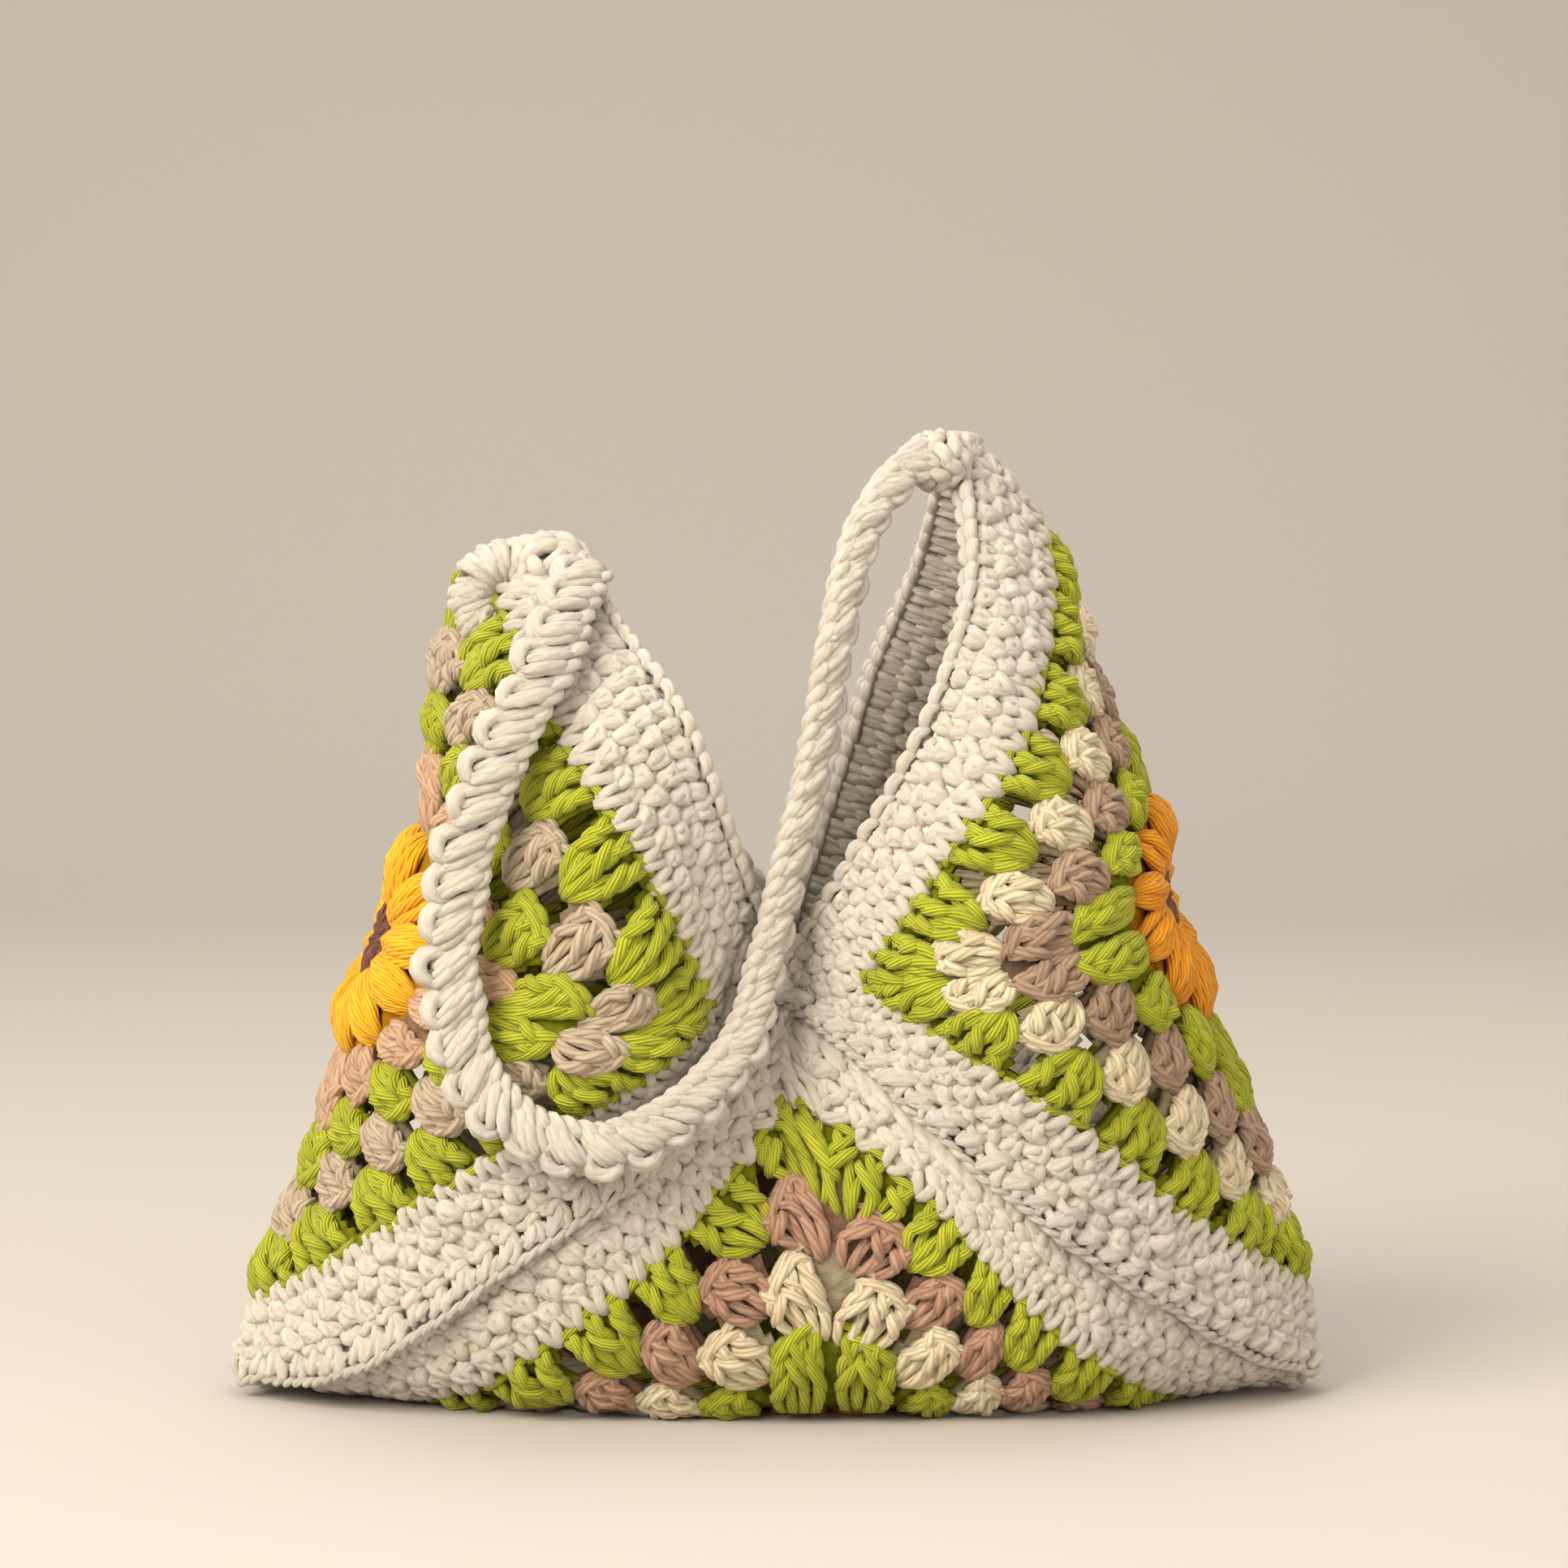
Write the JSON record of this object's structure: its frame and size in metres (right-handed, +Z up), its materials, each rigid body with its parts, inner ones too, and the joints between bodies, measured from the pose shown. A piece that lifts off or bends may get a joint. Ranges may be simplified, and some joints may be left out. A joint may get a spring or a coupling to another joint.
{
  "type": "crochet bag",
  "caption": "Soft hollow crocheted knot bag of sunflower granny squares with a crocheted strap from tip to tip, standing on its base.",
  "frame": {"origin": "middle of the part's box at its bottom, on the floor under the base square", "axes": "+Z up, +X to the right tip as the picture shows it, -Y towards the viewer and the strap"},
  "size_m": [0.198, 0.1066, 0.1779],
  "materials": {
    "lime": "matte cotton yarn, crocheted",
    "cream": "matte cotton yarn, crocheted",
    "beige": "matte cotton yarn, crocheted",
    "rose": "matte cotton yarn, crocheted",
    "taupe": "matte cotton yarn, crocheted",
    "peach": "matte cotton yarn, crocheted",
    "brown": "matte cotton yarn, crocheted",
    "yellow": "matte cotton yarn, crocheted",
    "orange": "matte cotton yarn, crocheted",
    "white": "matte cotton yarn, crocheted"
  },
  "bodies": {
    "root": {"base_border": "white", "base_eye": "brown", "base_petals": "orange", "base_round_3_lime": "lime", "base_round_4_cream": "cream", "base_round_5_rose": "rose", "base_round_6_lime": "lime", "left_border": "white", "left_eye": "brown", "left_petals": "yellow", "left_rim": "white", "left_round_3_peach": "peach", "left_round_4_lime": "lime", "left_round_5_beige": "beige", "left_round_6_lime": "lime", "left_seam": "white", "right_border": "white", "right_eye": "brown", "right_petals": "orange", "right_rim": "white", "right_round_3_lime": "lime", "right_round_4_taupe": "taupe", "right_round_5_cream": "cream", "right_round_6_lime": "lime", "right_seam": "white", "strap": "white"}
  },
  "joints": []
}
